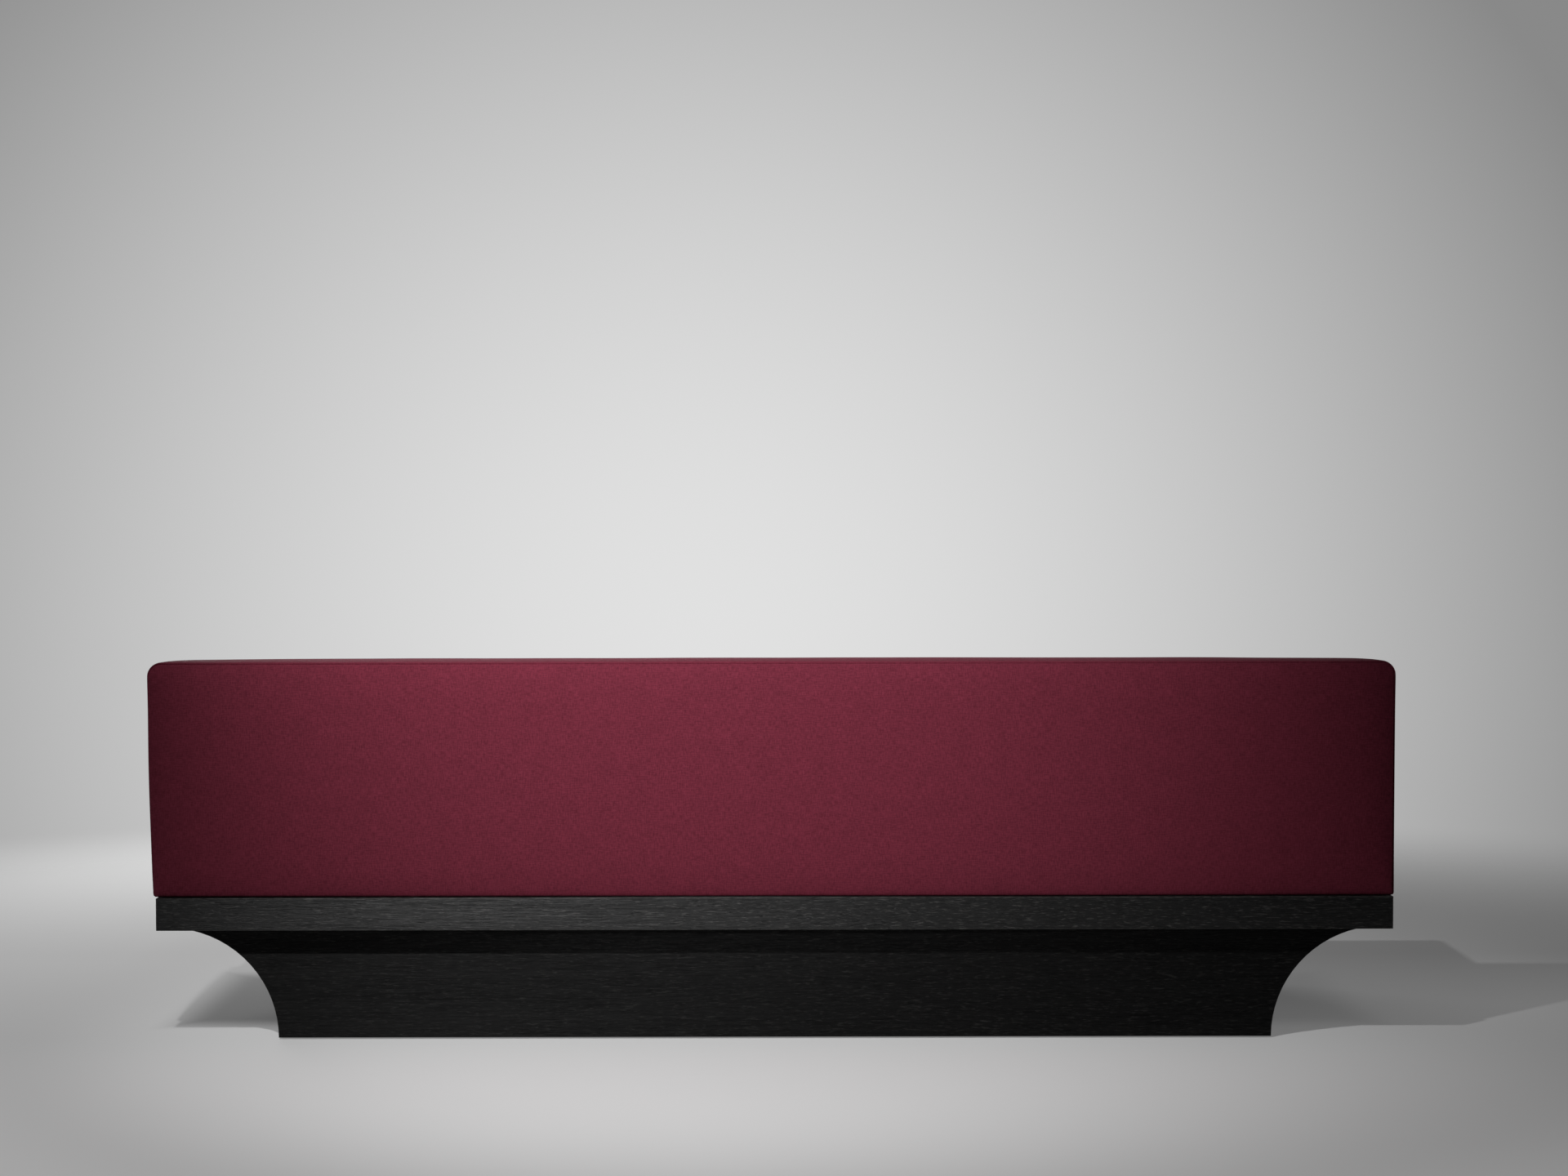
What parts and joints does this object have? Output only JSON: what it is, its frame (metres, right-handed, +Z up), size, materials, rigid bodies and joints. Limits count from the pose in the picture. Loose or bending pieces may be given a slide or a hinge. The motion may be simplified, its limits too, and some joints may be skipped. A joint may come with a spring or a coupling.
{
  "type": "dining sofa",
  "caption": "Armless dining sofa with a plain upholstered back and bench seat on a black oak deck, carried by a plinth with hollowed ends on levelling feet.",
  "frame": {"origin": "on the floor under the middle of the deck", "axes": "+X along the sofa, the sitter faces -Y and the upholstered rear face looks to +Y, +Z up"},
  "size_m": [2.411, 0.7, 0.73],
  "materials": {
    "burgundy_cloth": "fine heathered wool-like weave",
    "black_oak": "black-stained open-grain oak, satin",
    "plywood": "raw birch plywood",
    "black_board": "black-stained board",
    "beech": "raw beech",
    "foam": "open-cell upholstery foam",
    "felt": "needled felt",
    "webbing": "elastic webbing",
    "spring_steel": "drawn spring wire",
    "zinc_steel": "zinc plated",
    "pad_plastic": "black nylon"
  },
  "bodies": {
    "sofa": {"back_bolts": "zinc_steel", "back_bottom_rail": "beech", "back_cover": "burgundy_cloth", "back_front_foam": "foam", "back_posts": "beech", "back_skin_panel": "plywood", "back_tee_nuts": "zinc_steel", "back_top_rail": "beech", "back_washers": "zinc_steel", "back_webbing": "webbing", "back_wrap_foam": "foam", "batten_screws": "zinc_steel", "cove_formers": "plywood", "deck_back_rail": "black_oak", "deck_bottom_panel": "black_board", "deck_core_ribs": "plywood", "deck_front_rail": "black_oak", "deck_left_rail": "black_oak", "deck_mitre_splines": "beech", "deck_right_rail": "black_oak", "deck_top_panel": "plywood", "leveller_blocks": "beech", "leveller_tee_nuts": "zinc_steel", "plinth_back_panel": "black_oak", "plinth_battens": "beech", "plinth_front_panel": "black_oak", "plinth_left_cove": "black_oak", "plinth_ribs": "plywood", "plinth_right_cove": "black_oak", "seat_back_rail": "beech", "seat_bolts": "zinc_steel", "seat_corner_blocks": "beech", "seat_cover": "burgundy_cloth", "seat_cross_rails": "beech", "seat_end_rails": "beech", "seat_felt": "felt", "seat_foam": "foam", "seat_front_rail": "beech", "seat_springs": "spring_steel", "seat_tee_nuts": "zinc_steel", "seat_washers": "zinc_steel", "spring_clips": "spring_steel"},
    "foot_1": {"leveller_pad_1": "pad_plastic"},
    "screw_1": {"leveller_screw_1": "zinc_steel"},
    "foot_2": {"leveller_pad_2": "pad_plastic"},
    "screw_2": {"leveller_screw_2": "zinc_steel"},
    "foot_3": {"leveller_pad_3": "pad_plastic"},
    "screw_3": {"leveller_screw_3": "zinc_steel"},
    "foot_4": {"leveller_pad_4": "pad_plastic"},
    "screw_4": {"leveller_screw_4": "zinc_steel"},
    "foot_5": {"leveller_pad_5": "pad_plastic"},
    "screw_5": {"leveller_screw_5": "zinc_steel"},
    "foot_6": {"leveller_pad_6": "pad_plastic"},
    "screw_6": {"leveller_screw_6": "zinc_steel"}
  },
  "joints": [
    {"name": "foot_1_travel", "type": "slide", "parent": "sofa", "child": "foot_1", "axis": [0, 0, -1], "range_m": [0, 0.012]},
    {"name": "screw_1_turn", "type": "hinge", "parent": "foot_1", "child": "screw_1", "pos_m": [-0.88, -0.25, 0.03], "axis": [0, 0, -1], "range_deg": [0, 3456]},
    {"name": "foot_2_travel", "type": "slide", "parent": "sofa", "child": "foot_2", "axis": [0, 0, -1], "range_m": [0, 0.012]},
    {"name": "screw_2_turn", "type": "hinge", "parent": "foot_2", "child": "screw_2", "pos_m": [0, -0.25, 0.03], "axis": [0, 0, -1], "range_deg": [0, 3456]},
    {"name": "foot_3_travel", "type": "slide", "parent": "sofa", "child": "foot_3", "axis": [0, 0, -1], "range_m": [0, 0.012]},
    {"name": "screw_3_turn", "type": "hinge", "parent": "foot_3", "child": "screw_3", "pos_m": [0.88, -0.25, 0.03], "axis": [0, 0, -1], "range_deg": [0, 3456]},
    {"name": "foot_4_travel", "type": "slide", "parent": "sofa", "child": "foot_4", "axis": [0, 0, -1], "range_m": [0, 0.012]},
    {"name": "screw_4_turn", "type": "hinge", "parent": "foot_4", "child": "screw_4", "pos_m": [-0.88, 0.25, 0.03], "axis": [0, 0, -1], "range_deg": [0, 3456]},
    {"name": "foot_5_travel", "type": "slide", "parent": "sofa", "child": "foot_5", "axis": [0, 0, -1], "range_m": [0, 0.012]},
    {"name": "screw_5_turn", "type": "hinge", "parent": "foot_5", "child": "screw_5", "pos_m": [0, 0.25, 0.03], "axis": [0, 0, -1], "range_deg": [0, 3456]},
    {"name": "foot_6_travel", "type": "slide", "parent": "sofa", "child": "foot_6", "axis": [0, 0, -1], "range_m": [0, 0.012]},
    {"name": "screw_6_turn", "type": "hinge", "parent": "foot_6", "child": "screw_6", "pos_m": [0.88, 0.25, 0.03], "axis": [0, 0, -1], "range_deg": [0, 3456]}
  ],
  "couplings": [
    {"joint": "screw_1_turn", "follows": "foot_1_travel", "rad_per_m": 5026.5},
    {"joint": "screw_2_turn", "follows": "foot_2_travel", "rad_per_m": 5026.5},
    {"joint": "screw_3_turn", "follows": "foot_3_travel", "rad_per_m": 5026.5},
    {"joint": "screw_4_turn", "follows": "foot_4_travel", "rad_per_m": 5026.5},
    {"joint": "screw_5_turn", "follows": "foot_5_travel", "rad_per_m": 5026.5},
    {"joint": "screw_6_turn", "follows": "foot_6_travel", "rad_per_m": 5026.5}
  ]
}
